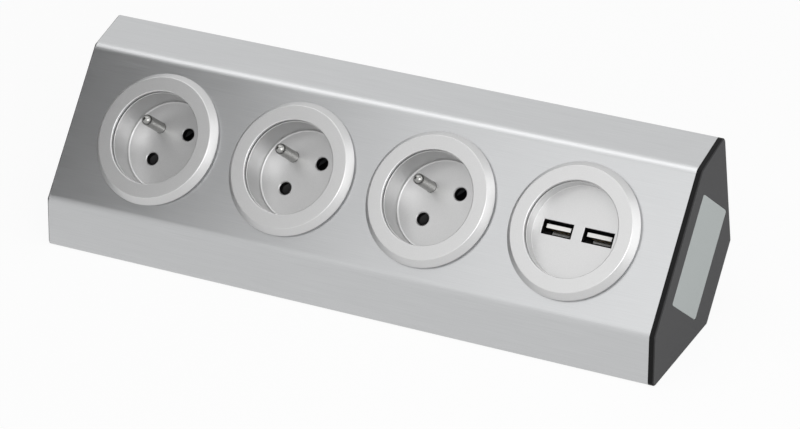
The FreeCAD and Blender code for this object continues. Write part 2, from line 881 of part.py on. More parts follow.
def usb_port_spots():
    return {"left": -s.usb_pitch / 2, "right": s.usb_pitch / 2}


port_outer_width = s.port_width + s.port_wall * 2
port_outer_height = s.port_height + s.port_wall * 2
board_top = -port_outer_height / 2
board_under = board_top - s.board_thickness
board_front = usb_floor_back - s.board_clearance
board_end = terminal_end + s.terminal_block_depth
port_front = usb_floor_top - s.port_setback
port_end = port_front - s.port_length


def usb_frame():
    return face_at(centre_x(SOCKET_COUNT))


def usb_posts(low, high, radius):
    """Bars on the two screw spots of the charger."""
    offset = s.usb_screw_offset
    return [rod(offset * side, offset * side, low, high, radius) for side in (-1, 1)]


def usb_insert():
    """The charger's front disc, with a window for each port and two screw posts."""
    body = turned("usb_disc", insert_profile(usb_floor_top, usb_floor_back) + [(0, usb_floor_back)])
    half_width = port_outer_width / 2 + s.port_clearance
    high = around(0, port_outer_height / 2 + s.port_clearance)
    deep = usb_floor_back, usb_floor_top
    windows = [block(around(x, half_width), high, deep) for x in usb_port_spots().values()]
    bosses = usb_posts(boss_end, usb_floor_back, s.usb_post_radius)
    pilots = usb_posts(boss_end, usb_floor_back, thread_radius)
    keep("usb_insert", cut(fuse(body, *bosses), *windows, *pilots), usb_frame())


def inside_base(room):
    """The space inside the base, at a distance from its walls."""
    body = new_body("inside")
    space = outline(body, "YZ_Plane", centred(section(Size.of(0), s.base_wall + room)))
    pad(body, space, s.base_length, both_ways=True)
    return body


def usb_housing():
    """The can behind the charger's disc. Flats keep it clear of the base where that is near."""
    flange = rod(0, 0, sheet_back - s.carrier_flange_thickness, sheet_back, carrier_flange_radius)
    shell = put(fuse(rod(0, 0, lid_back, sheet_back, carrier_radius), flange), usb_frame())
    room = put(rod(0, 0, chamber_end, sheet_back, carrier_bore), usb_frame())
    post_end = boss_end - s.contact_clearance
    posts = put(fuse(*usb_posts(chamber_end, post_end, s.usb_post_radius)), usb_frame())
    holes = usb_posts(lid_back, post_end, screw_hole_radius)
    holes += [rod(x, y, lid_back, chamber_end, wire_hole_radius) for x, y in usb_wire_spots().values()]
    can = common(shell, inside_base(s.can_room))
    hollow = common(room, inside_base(s.can_room + s.lid_thickness))
    keep("usb_housing", cut(fuse(cut(can, hollow), posts), put(fuse(*holes), usb_frame())))


def wire_place(name):
    """A terminal's place along and up the slope from the middle of its module."""
    x, y = terminal_spots()[name]
    turn_x = cosine(s.socket_angle)
    turn_y = sine(s.socket_angle)
    return x * turn_x - y * turn_y, x * turn_y + y * turn_x


def usb_wire_spots():
    """Where the last live and neutral wires enter the charger, in its own frame."""
    spots = {}
    for name in pin_sides:
        x, y = wire_place(name)
        spots[name] = (x - s.wire_spread, y)
    return spots


def usb_screws():
    length = usb_floor_back - s.screw_clearance - lid_back
    screws = []
    for side in (-1, 1):
        offset = s.usb_screw_offset * side
        screws.append(put(screw(length), usb_frame(), spot(offset, offset, lid_back)))
    keep("usb_screws", group(*screws))


def usb_port(name, x):
    """A port: a plated steel shell and, inside it, the plastic tongue with its block."""
    inside = around(x, s.port_width / 2), around(0, s.port_height / 2)
    deep = port_end, port_front
    shell = block(around(x, port_outer_width / 2), around(0, port_outer_height / 2), deep)
    keep(f"usb_shell_{name}", cut(shell, block(*inside, deep)), usb_frame())
    tongue_front = port_front - s.tongue_setback
    tongue_back = tongue_front - s.tongue_length
    thick = around(s.tongue_offset, s.tongue_thickness / 2)
    tongue = block(around(x, s.tongue_width / 2), thick, (tongue_back, tongue_front))
    keep(f"usb_tongue_{name}", fuse(tongue, block(*inside, (port_end, tongue_back))), usb_frame())


def usb_board():
    board = block(around(0, s.board_half_width), (board_under, board_top), (board_end, board_front))
    keep("usb_board", board, usb_frame())


def usb_terminal_block():
    """The block behind the board that the live and neutral wires end on."""
    spots = usb_wire_spots()
    reach = s.wire_radius + s.terminal_block_margin
    live_x, live_y = spots["live"]
    neutral_x, neutral_y = spots["neutral"]
    wide = neutral_x - reach, live_x + reach
    high = neutral_y - reach, live_y + reach
    keep("usb_terminal_block", block(wide, high, (terminal_end, board_end)), usb_frame())


def usb_parts_on_board():
    """The transformer and the capacitors under the board, and the controller above it."""
    wide = around(-s.transformer_shift, s.transformer_width / 2)
    high = board_under - s.transformer_height, board_under
    front = board_front - s.transformer_setback
    keep("usb_transformer", block(wide, high, (front - s.transformer_depth, front)), usb_frame())
    cans = []
    for number in range(2):
        z = board_front - s.capacitor_setback - s.capacitor_pitch * number
        start = s.capacitor_shift, board_under, z
        cans.append(rod_to(*start, (1, 0, 0), 90, s.capacitor_height, s.capacitor_radius))
    keep("usb_capacitors", group(*cans), usb_frame())
    front = port_end - s.chip_setback
    high = board_top, board_top + s.chip_height
    chip = block(around(0, s.chip_side / 2), high, (front - s.chip_side, front))
    keep("usb_controller", chip, usb_frame())


# Wires and the earth bond

def wire(label, start, end, y):
    """A wire in a plane along the strip: down from its first end, along, and up to its second.

    Each end is a distance along the strip and a height in the frame of the slanted face.
    """
    (start_x, start_z), (end_x, end_z) = start, end
    run = terminal_end - s.wire_drop
    bend = s.wire_bend
    level = run + bend
    parts = [
        rod(start_x, y, level, start_z, s.wire_radius),
        rod(end_x, y, level, end_z, s.wire_radius),
        rod_to(start_x + bend, y, run, (0, 1, 0), 90, end_x - start_x - bend * 2, s.wire_radius),
    ]
    for x, turn in ((start_x + bend, 180), (end_x - bend, 270)):
        quarter = bind(doc.addObject("Part::Torus", "quarter"), Radius1=bend, Radius2=s.wire_radius)
        quarter.Angle3 = 90
        parts.append(put(quarter, spot(x, y, level, (1, 0, 0), 90), spot(turn=turn)))
    straight = (start_z - level) + (end_z - level) + (end_x - start_x - bend * 2)
    length = straight + bend * math.pi
    wire_lengths[label] = length.value
    keep(label, fuse(*parts), spot(0, face_y, face_z, (1, 0, 0), SLOPE))


def link_wires():
    """Live and neutral wires join all four modules, and earth wires join the three sockets."""
    links = {"live": SOCKET_COUNT, "neutral": SOCKET_COUNT, "earth": SOCKET_COUNT - 1}
    for name, count in links.items():
        x, y = wire_place(name)
        for index in range(count):
            start = (centre_x(index) + x + s.wire_spread, terminal_end)
            end = (centre_x(index + 1) + x - s.wire_spread, terminal_end)
            wire(f"{name}_wire_{index + 1}", start, end, y)


def earth_bond():
    """A stud behind the cover, with a lug, a nut and the wire from the last socket's earth terminal."""
    x, y = wire_place("earth")
    last = centre_x(SOCKET_COUNT - 1)
    stud_x = last + module_pitch / 2
    frame = face_at(stud_x, y + s.lug_reach) + " * " + spot(turn=90)
    base_end = sheet_back - s.bond_base_height
    stud = fuse(rod(0, 0, base_end, sheet_back, s.bond_base_radius),
                rod(0, 0, sheet_back - s.bond_stud_length, sheet_back, s.screw_radius))
    keep("earth_bond_stud", stud, frame)
    lug_end = base_end - s.lug_thickness
    barrel_end = base_end - s.lug_barrel_length
    lug = fuse(
        rod(0, 0, lug_end, base_end, s.lug_radius),
        block((-s.lug_reach, 0), around(0, s.lug_barrel_radius), (lug_end, base_end)),
        rod(-s.lug_reach, 0, barrel_end, base_end, s.lug_barrel_radius),
    )
    keep("earth_bond_lug", cut(lug, rod(0, 0, lug_end, base_end, thread_radius)), frame)
    nut = bind(doc.addObject("Part::Prism", "nut"), Circumradius=s.nut_radius, Height=s.nut_height)
    nut.Polygon = 6
    put(nut, spot(0, 0, lug_end - s.nut_height))
    hole = rod(0, 0, lug_end - s.nut_height, lug_end, thread_radius)
    keep("earth_bond_nut", cut(nut, hole), frame)
    wire("earth_bond_wire", (last + x + s.wire_spread, terminal_end), (stud_x, barrel_end), y)


wire_lengths = {}

front_cover()
rear_base()
end_cap("left_end_cap", -1)
end_cap("right_end_cap", 1)
cap_screws()
keep("rating_plate", plate_block())
cable_grommet()
for module in range(MODULE_COUNT):
    trim_ring(module)
for socket in range(SOCKET_COUNT):
    socket_cup(socket)
    contact_carrier(socket)
    contact_lid(socket)
    pin_contact(socket, "live")
    pin_contact(socket, "neutral")
    earth_pin(socket)
    shutter(socket)
    shutter_spring(socket)
socket_screws()
usb_insert()
usb_housing()
usb_screws()
for port, place in usb_port_spots().items():
    usb_port(port, place)
usb_board()
usb_terminal_block()
usb_parts_on_board()
link_wires()
earth_bond()
doc.recompute()

# Checks before anything is written

for thing in doc.Objects:
    if any(state in thing.State for state in ("Invalid", "Error")):
        raise RuntimeError(f"{thing.Name} ({thing.Label}) failed: {thing.State}")
for label, thing in nodes.items():
    if thing.Shape.isNull() or not thing.Shape.isValid() or not thing.Shape.Solids:
        raise RuntimeError(f"{label} has no valid solid")
for label, length in wire_lengths.items():
    expected = math.pi * s.wire_radius.value ** 2 * length
    print(f"{label}: {length:.1f} mm, volume {nodes[label].Shape.Volume:.1f} of {expected:.1f}")

os.makedirs("parts", exist_ok=True)
for label, thing in nodes.items():
    thing.Shape.exportStep(f"parts/{label}.step")
print(len(nodes), "sub-parts")
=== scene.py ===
# %% [markdown]
# # A corner power strip
# The strip stands in the corner between a worktop and a wall. A folded sheet of aluminium
# closes its front. Three earthed sockets and a charger with two ports sit in the slanted face,
# each under a silver ring. Behind them are a black base and two end caps.
#
# The CAD model is loaded first as a fixed frame. It gives every piece its place, so each piece
# made here goes straight to its real spot, in metres.

# %% The frame
import json
import math

import bmesh
import bpy
from mathutils import Matrix, Vector


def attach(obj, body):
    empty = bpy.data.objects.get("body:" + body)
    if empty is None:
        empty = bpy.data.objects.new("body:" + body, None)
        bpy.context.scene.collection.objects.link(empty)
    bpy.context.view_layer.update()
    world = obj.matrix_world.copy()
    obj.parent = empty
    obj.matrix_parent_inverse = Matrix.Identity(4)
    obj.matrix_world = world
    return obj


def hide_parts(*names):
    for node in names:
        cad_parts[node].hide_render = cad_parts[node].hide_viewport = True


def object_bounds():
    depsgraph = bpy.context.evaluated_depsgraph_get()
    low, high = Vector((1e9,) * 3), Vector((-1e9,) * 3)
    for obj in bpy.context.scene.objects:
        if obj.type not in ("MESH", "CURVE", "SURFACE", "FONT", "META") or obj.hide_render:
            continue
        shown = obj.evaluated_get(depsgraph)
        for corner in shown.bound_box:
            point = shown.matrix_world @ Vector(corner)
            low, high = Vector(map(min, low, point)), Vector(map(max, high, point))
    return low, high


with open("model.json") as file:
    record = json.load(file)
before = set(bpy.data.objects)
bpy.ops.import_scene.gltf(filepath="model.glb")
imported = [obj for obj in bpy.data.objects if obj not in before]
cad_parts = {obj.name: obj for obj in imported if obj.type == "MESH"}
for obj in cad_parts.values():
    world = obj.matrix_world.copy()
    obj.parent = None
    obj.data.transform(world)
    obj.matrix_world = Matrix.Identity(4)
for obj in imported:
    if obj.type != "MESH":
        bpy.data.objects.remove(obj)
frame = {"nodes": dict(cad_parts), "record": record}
cad_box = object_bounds()
cad_nodes = frame["nodes"]
MM = 0.001
extent = [round(side / MM, 1) for side in cad_box[1] - cad_box[0]]
print("the strip is", extent, "mm long, deep and high")

# %% [markdown]
# ## Camera
# The photograph was taken from the right and from above with a long lens, so that the strip's
# edges stay almost parallel. The camera could be turned by eye until it looks right. Here its
# place, its aim and its slight roll come from fitting the strip's corners and the round
# recesses to the picture, because the eye misses small errors of proportion.

# %% Camera
IMAGE_WIDTH = 800
FOCAL_PIXELS = 4115.16
SENSOR = 36.0
FAR_END = 50
CAMERA_PLACE = Vector((0.78415, -1.22606, 0.93072))
LOOKING = Vector((-0.45303, 0.71818, -0.52818)).normalized()
UPWARDS = Vector((-0.19365, 0.49905, 0.84466))


def put(name, data):
    """Adds an object with this data to the scene."""
    thing = bpy.data.objects.new(name, data)
    bpy.context.scene.collection.objects.link(thing)
    return thing


camera_data = bpy.data.cameras.new("camera")
camera_data.sensor_width = SENSOR
camera_data.lens = FOCAL_PIXELS / IMAGE_WIDTH * SENSOR
camera_data.clip_end = FAR_END
camera = put("camera", camera_data)
sideways = LOOKING.cross(UPWARDS).normalized()
turn = Matrix((sideways, sideways.cross(LOOKING), -LOOKING)).transposed().to_4x4()
camera.matrix_world = Matrix.Translation(CAMERA_PLACE) @ turn
bpy.context.scene.camera = camera
print("lens", round(camera_data.lens, 1), "mm")

# %% [markdown]
# ## Building with nodes
# Materials and shapes are both made from nodes. One small function adds a node, sets it up and
# links it. Colours are written as in a paint program, in sRGB, and turned to the linear values
# that the renderer works with.

# %% Helpers for nodes and colours
WHITE = (1, 1, 1, 1)


def add(tree, kind, inputs=None, **settings):
    """Adds a node. Inputs go by name or number, and are values or sockets of other nodes."""
    node = tree.nodes.new(kind)
    for name, value in settings.items():
        setattr(node, name, value)
    for name, value in (inputs or {}).items():
        socket = node.inputs[name]
        if isinstance(value, bpy.types.NodeSocket):
            tree.links.new(value, socket)
        else:
            socket.default_value = value
    return node


def colour(code):
    """The linear colour for a hex code such as #c0c0c0."""
    channels = [int(code[i:i + 2], 16) / 255 for i in (1, 3, 5)]
    linear = [c / 12.92 if c <= 0.04045 else ((c + 0.055) / 1.055) ** 2.4 for c in channels]
    return (*linear, 1.0)


def bare_material(name):
    """A material whose tree has no nodes yet."""
    material = bpy.data.materials.new(name)
    material.use_nodes = True
    material.node_tree.nodes.clear()
    return material


print("a middle grey is", [round(c, 3) for c in colour("#808080")], "in linear values")

# %% [markdown]
# ## Studio
# A pale floor and a few soft lamps. Satin metal shows what is around it: the slanted face
# mirrors the space in front and to the left, the upper lip mirrors the space above and behind,
# and the fold between them mirrors what is overhead. A mirrored room of even white gives the
# metal its middle tone. Each panel that the metal mirrors adds to that, and the key panel at the
# front right, which no large face mirrors, lights the plastic. A picture of a real studio could
# be wrapped round the scene instead, but then no single panel could be moved.

# %% Floor
FLOOR_WHITE = 0.92
FLOOR_SIDE = 12.0


def seen_directly(tree):
    """One for a ray from the camera, a glossy surface or glass, zero for one that only lights."""
    path = add(tree, "ShaderNodeLightPath").outputs
    mirrored = {0: path["Is Glossy Ray"], 1: path["Is Transmission Ray"]}
    mirrored = add(tree, "ShaderNodeMath", mirrored, operation="MAXIMUM")
    seen = {0: path["Is Camera Ray"], 1: mirrored.outputs[0]}
    return add(tree, "ShaderNodeMath", seen, operation="MAXIMUM").outputs[0]


def floor_material():
    """Pale matt paper. The camera and the metal see it lifted towards white, with its shadow."""
    material = bare_material("floor_paper")
    tree = material.node_tree
    paper = add(tree, "ShaderNodeBsdfDiffuse", {"Color": colour("#f4f4f4")})
    white = add(tree, "ShaderNodeEmission", {"Color": WHITE, "Strength": 1.0})
    share = {0: seen_directly(tree), 1: FLOOR_WHITE}
    share = add(tree, "ShaderNodeMath", share, operation="MULTIPLY")
    both = {"Fac": share.outputs[0], 1: paper.outputs[0], 2: white.outputs[0]}
    both = add(tree, "ShaderNodeMixShader", both)
    add(tree, "ShaderNodeOutputMaterial", {"Surface": both.outputs[0]})
    return material


def flat_panel(name, across, up, placed=Matrix()):
    """A flat panel with four corners, round the origin of a placement."""
    a, b = across / 2, up / 2
    corners = [placed @ Vector((x, y, 0)) for x, y in ((-a, -b), (a, -b), (a, b), (-a, b))]
    mesh = bpy.data.meshes.new(name)
    mesh.from_pydata(corners, [], [(0, 1, 2, 3)])
    return mesh


floor_mesh = flat_panel("floor", FLOOR_SIDE, FLOOR_SIDE)
floor_mesh.materials.append(floor_material())
floor = put("floor", floor_mesh)
print("a floor", FLOOR_SIDE, "m wide")

# %% Lamps
ROOM_LIGHT = 0.38
ROOM_SEEN = 1.0
STRIP_MIDDLE = (0, 0, 0.05)


def facing(place, aim):
    """The placement of a panel that stands at a place and faces a point."""
    direction = Vector(aim) - Vector(place)
    return Matrix.Translation(place) @ direction.to_track_quat("-Z", "Y").to_matrix().to_4x4()


def softbox(name, place, aim, size, brightness):
    """A panel lamp. Its brightness is what it adds to the white room behind it, which is 1."""
    data = bpy.data.lights.new(name, "AREA")
    data.shape = "RECTANGLE"
    data.size, data.size_y = size
    data.energy = brightness * math.pi * size[0] * size[1]
    put(name, data).matrix_world = facing(place, aim)
    print(f"{name}: {size[0]} by {size[1]} m, {data.energy:.2f} W")


softbox("front_panel", (0.16, -0.46, 0.52), (0.16, 0, 0.05), (0.95, 0.4), 0.46)
softbox("overhead_panel", (-0.24, -0.02, 0.95), (-0.24, 0, 0.05), (1.0, 0.3), 1.3)
softbox("low_right_panel", (0.85, 0.1, 0.42), STRIP_MIDDLE, (1.1, 0.8), 0.85)
softbox("key_panel", (0.85, -0.85, 0.75), STRIP_MIDDLE, (0.7, 0.7), 4.0)

world = bpy.data.worlds.new("studio")
bpy.context.scene.world = world
world.use_nodes = True
room = world.node_tree
room.nodes.clear()
lighting = add(room, "ShaderNodeBackground", {"Color": WHITE, "Strength": ROOM_LIGHT})
looks = add(room, "ShaderNodeBackground", {"Color": WHITE, "Strength": ROOM_SEEN})
either = {"Fac": seen_directly(room), 1: lighting.outputs[0], 2: looks.outputs[0]}
either = add(room, "ShaderNodeMixShader", either)
add(room, "ShaderNodeOutputWorld", {"Surface": either.outputs[0]})
bpy.context.scene.view_settings.view_transform = "Standard"

# %% [markdown]
# A white room gives satin metal one even tone. In a studio, a dark card that stands just outside
# the picture breaks it. Here it stands at the front left, where the left end of the slanted face
# mirrors it. Only glossy rays see it, so it takes no light from the strip.

# %% Dark card
def card(name, place, aim, size, grey):
    """A card that metal mirrors, but that lights and shades nothing."""
    mesh = flat_panel(name, *size, facing(place, aim))
    material = bare_material(name)
    tree = material.node_tree
    flat = add(tree, "ShaderNodeEmission", {"Color": (grey, grey, grey, 1), "Strength": 1.0})
    add(tree, "ShaderNodeOutputMaterial", {"Surface": flat.outputs[0]})
    mesh.materials.append(material)
    thing = put(name, mesh)
    thing.visible_camera = thing.visible_diffuse = False
    thing.visible_shadow = thing.visible_transmission = False
    print(f"{name}: {size[0]} by {size[1]} m")


card("dark_card", (-0.49, -0.17, 0.26), (-0.2, 0, 0.05), (0.4, 0.5), 0.02)

# %% [markdown]
# ## Finishes
# Every material has the same skeleton: a pattern in the piece's own coordinates, sized in
# millimetres, moves the colour, the roughness and the relief a little. What differs is the
# pattern: drawn out along the strip for brushed metal, round and fine for moulded plastic.
# Photographs of surfaces would do it too, but a pattern from nodes has no seams and no limit to
# how close one can look.
#
# Handling rubs the outer edges of a piece first, and a lighter colour along them stands for that
# wear and also for a painted highlight on the edges. The Bevel node finds them, because the
# rounded direction that it gives departs from the true one only near an edge.

# %% The skeleton of a finish
# A Mix node has one row of sockets for numbers and one for colours.
NUMBER_A, NUMBER_B, COLOUR_A, COLOUR_B, COLOUR_OUT = 2, 3, 6, 7, 2
# The width of the lighter edges, which are partly wear and partly a painted highlight.
EDGE_HIGHLIGHT_AND_WEAR_WIDTH = 0.35
BEVEL_RAYS = 4
FLAT_COSINE = 0.99
EDGE_COSINE = 0.85
NOISE_RANGE = {"From Min": 0.3, "From Max": 0.7}


def edge_mask(tree, width):
    """One along outer edges, within a width in millimetres, and zero on the flat."""
    rounded = add(tree, "ShaderNodeBevel", {"Radius": width * MM}, samples=BEVEL_RAYS)
    flat = add(tree, "ShaderNodeNewGeometry")
    same = {0: rounded.outputs[0], 1: flat.outputs["True Normal"]}
    same = add(tree, "ShaderNodeVectorMath", same, operation="DOT_PRODUCT")
    mask = {
        "Value": same.outputs["Value"], "From Min": FLAT_COSINE, "From Max": EDGE_COSINE,
        "To Min": 0.0, "To Max": 1.0,
    }
    return add(tree, "ShaderNodeMapRange", mask).outputs[0]


def mixed_colour(tree, share, first, second):
    """A colour between two others, as a socket."""
    mix = {"Factor": share, COLOUR_A: first, COLOUR_B: second}
    return add(tree, "ShaderNodeMix", mix, data_type="RGBA").outputs[COLOUR_OUT]


def finish(
    name, dark, light, rough, metallic=0.0, grain=0.4, stretch=(1, 1, 1), relief=0.01,
    detail=4.0, edge_highlight_and_wear=None, **sockets,
):
    """A surface whose colour, roughness and relief follow one pattern.

    Rough is the lowest and highest roughness. Grain is the pattern's size and relief its depth,
    both in millimetres. Stretch makes it longer along an axis. The last colour goes along the
    edges: partly wear from handling, partly a painted highlight.
    """
    material = bare_material(name)
    tree = material.node_tree
    place = add(tree, "ShaderNodeTexCoord").outputs["Object"]
    scale = [1 / (grain * MM * longer) for longer in stretch]
    mapping = add(tree, "ShaderNodeMapping", {"Vector": place, "Scale": scale})
    pattern = {"Vector": mapping.outputs[0], "Scale": 1.0, "Detail": detail}
    pattern = add(tree, "ShaderNodeTexNoise", pattern).outputs["Fac"]
    spread = add(tree, "ShaderNodeMapRange", {"Value": pattern} | NOISE_RANGE).outputs[0]
    tint = mixed_colour(tree, spread, colour(dark), colour(light))
    # Lighter edges: partly wear, partly a painted highlight on the rounded edges.
    if edge_highlight_and_wear:
        highlight_and_wear_share = {0: edge_mask(tree, EDGE_HIGHLIGHT_AND_WEAR_WIDTH), 1: spread}
        highlight_and_wear_share = add(tree, "ShaderNodeMath", highlight_and_wear_share, operation="MULTIPLY")
        tint = mixed_colour(tree, highlight_and_wear_share.outputs[0], tint, colour(edge_highlight_and_wear))
    gloss = {"Value": pattern, "To Min": rough[0], "To Max": rough[1]} | NOISE_RANGE
    gloss = add(tree, "ShaderNodeMapRange", gloss)
    bump = {"Height": pattern, "Strength": 1.0, "Distance": relief * MM}
    bump = add(tree, "ShaderNodeBump", bump)
    shader = add(tree, "ShaderNodeBsdfPrincipled", {
        "Base Color": tint, "Metallic": metallic, "Roughness": gloss.outputs[0],
        "Normal": bump.outputs[0],
    } | sockets)
    add(tree, "ShaderNodeOutputMaterial", {"Surface": shader.outputs[0]})
    return material


# %% [markdown]
# **Brushed aluminium.** The sheet was drawn under an abrasive belt, which leaves hair lines
# along its length. Real ones are hundredths of a millimetre wide, too fine for this picture, so
# they are drawn a quarter of a millimetre wide and very shallow.
#
# **Silver lacquer on plastic.** The rings, the cups and the charger's disc are moulded and
# sprayed with a satin silver lacquer: fine metal flakes in a clear binder, so it is mostly metal,
# with soft broad highlights.
#
# ** Plated metals.** The earth pins are nickel-plated brass, smooth and fairly bright. The shells of the ports are steel, coloured almost black as painted shade for the dark inside of the ports.

# %% Metal and silver lacquer
# Each edge colour below is partly wear and partly a painted edge highlight.
brushed_aluminium = finish(
    "brushed_aluminium", "#bcbdbe", "#c3c4c5", (0.31, 0.36), 1.0, grain=0.25,
    stretch=(90, 1, 1), relief=0.0008, edge_highlight_and_wear="#d4d4d4",
)
silver_lacquer = finish(
    "silver_lacquer_on_abs", "#c7c7c7", "#cfcfcf", (0.38, 0.44), 0.88, grain=0.3,
    relief=0.002, edge_highlight_and_wear="#e0e0e0",
)
nickel = finish(
    "nickel_plated_brass", "#8f8f8d", "#9c9c9a", (0.20, 0.28), 1.0, grain=0.8, relief=0.001,
)
# Painted shade: the steel of the port shells is near-black for the shade inside the ports.
shell_steel_painted_shade = finish(
    "steel_painted_port_shade", "#0b0b0c", "#131314", (0.40, 0.50), 1.0, grain=0.6, relief=0.001,
)
print("metals:", [made.name for made in (brushed_aluminium, silver_lacquer, nickel, shell_steel_painted_shade)])

# %% [markdown]
# **Moulded plastics.** The base and the caps are black ABS with a fine spark-eroded grain. The
# inner carriers are grey, glass-filled nylon, the shutters smooth black, the tongues of the
# ports white. Each has its own colour, gloss and grain. The rating plate is a satin foil.

# %% Plastics
# The edge colour of the black ABS is partly wear and partly a painted edge highlight.
black_abs = finish(
    "moulded_black_abs", "#262627", "#2e2e2f", (0.46, 0.56), grain=0.35, relief=0.006,
    edge_highlight_and_wear="#4a4a4b",
)
grey_nylon = finish(
    "moulded_grey_nylon", "#5c5e60", "#66686a", (0.5, 0.6), grain=0.5, relief=0.004,
)
shutter_black = finish(
    "moulded_black_shutter", "#060606", "#0a0a0a", (0.5, 0.6), grain=0.4, relief=0.002,
)
label_foil = finish(
    "blank_satin_foil", "#989e9d", "#a2a8a7", (0.32, 0.4), grain=0.5, relief=0.001,
)
print("plastics:", [made.name for made in (black_abs, grey_nylon, shutter_black, label_foil)])

# %% [markdown]
# ** Painted light and shade in one piece.** The walls of the narrow pin holes in the cups are painted black, as painted shade for the dark inside of the holes. The caps are black ABS with an eroded grain: their large side face is rougher and painted grey, as painted light from the lamps on the right, and their smoother border is near-black. A port's tongue is white at its front edge and painted dark behind, as painted shade for the inside of the port. Each could be two materials on two sets of faces. A mask in the material keeps the piece whole and gives a soft change from one to the other.

# %% Masks for painted light and shade
FACE_MIDDLE = (-8.8598, 46.15)
OUT_OF_FACE = (0, -math.sqrt(0.5), math.sqrt(0.5))
ALONG_STRIP = (1, 0, 0)
SQUARE_COSINE = 0.8
ASLANT_COSINE = 0.6
HOLE_SHADE_START = -10.9
HOLE_SHADE_FADE = 0.4


def change_where(material, mask, code, rough, metallic=0.0):
    """Gives a finish another colour and gloss where a mask is one."""
    tree = material.node_tree
    shader = next(node for node in tree.nodes if node.type == "BSDF_PRINCIPLED").inputs
    tint, gloss = [shader[name].links[0].from_socket for name in ("Base Color", "Roughness")]
    shine = shader["Metallic"].default_value
    tint = mixed_colour(tree, mask, tint, colour(code))
    gloss = add(tree, "ShaderNodeMix", {"Factor": mask, NUMBER_A: gloss, NUMBER_B: rough})
    metal = add(tree, "ShaderNodeMix", {"Factor": mask, NUMBER_A: shine, NUMBER_B: metallic})
    tree.links.new(tint, shader["Base Color"])
    tree.links.new(gloss.outputs[0], shader["Roughness"])
    tree.links.new(metal.outputs[0], shader["Metallic"])
    print(material.name, "changes to", code)


def below_face(tree, height, fade):
    """One below a height over the slanted face, zero above. Both lengths are millimetres."""
    place = add(tree, "ShaderNodeTexCoord").outputs["Object"]
    out = add(tree, "ShaderNodeVectorMath", {0: place, 1: OUT_OF_FACE}, operation="DOT_PRODUCT")
    edge = (FACE_MIDDLE[1] - FACE_MIDDLE[0]) * math.sqrt(0.5) + height
    mask = {
        "Value": out.outputs["Value"], "From Min": edge * MM, "From Max": (edge - fade) * MM,
    }
    return add(tree, "ShaderNodeMapRange", mask).outputs[0]


def off_axis(tree, axis):
    """Zero on faces square to an axis, one on the others."""
    along = {0: add(tree, "ShaderNodeNewGeometry").outputs["True Normal"], 1: axis}
    along = add(tree, "ShaderNodeVectorMath", along, operation="DOT_PRODUCT")
    size = add(tree, "ShaderNodeMath", {0: along.outputs["Value"]}, operation="ABSOLUTE")
    mask = {"Value": size.outputs[0], "From Min": SQUARE_COSINE, "From Max": ASLANT_COSINE}
    return add(tree, "ShaderNodeMapRange", mask).outputs[0]


cup_lacquer_and_hole_shade = finish(
    "silver_lacquer_painted_hole_shade", "#c1c1c1", "#c9c9c9", (0.38, 0.44), 0.88, grain=0.3,
    relief=0.002, edge_highlight_and_wear="#e0e0e0",
)
# Painted shade: the walls of the pin holes are coloured black for the shade inside the holes.
pin_hole_shade = below_face(cup_lacquer_and_hole_shade.node_tree, HOLE_SHADE_START, HOLE_SHADE_FADE)
change_where(cup_lacquer_and_hole_shade, pin_hole_shade, "#0a0a0a", 0.5)
# Painted light: the caps' side faces are a lighter grey for the light from the right, and the
# border, which faces elsewhere, is near-black.
cap_abs_painted_light = finish(
    "black_abs_cap_painted_side_light", "#3c3c3d", "#474748", (0.5, 0.6), grain=0.35, relief=0.008,
    edge_highlight_and_wear="#7a7a7a", **{"Specular IOR Level": 0.15},
)
change_where(cap_abs_painted_light, off_axis(cap_abs_painted_light.node_tree, ALONG_STRIP), "#0c0c0d", 0.45)
# Painted shade: only the tongue's front edge is white; the faces behind it are painted dark for
# the shade inside the port.
tongue_painted_shade = finish(
    "white_tongue_painted_shade_behind", "#f0efec", "#f8f7f4", (0.4, 0.5), grain=0.4, relief=0.002,
)
change_where(tongue_painted_shade, off_axis(tongue_painted_shade.node_tree, OUT_OF_FACE), "#151515", 0.5)

# %% [markdown]
# **Hidden parts.** Inside there are brass contacts, steel screws and springs, a circuit board
# with its parts, and wires in brown, blue and green-yellow. They are finished as well, because
# the model can be opened. One table says what each kind of part is made of, and a loop gives it
# to the nodes of the CAD model.

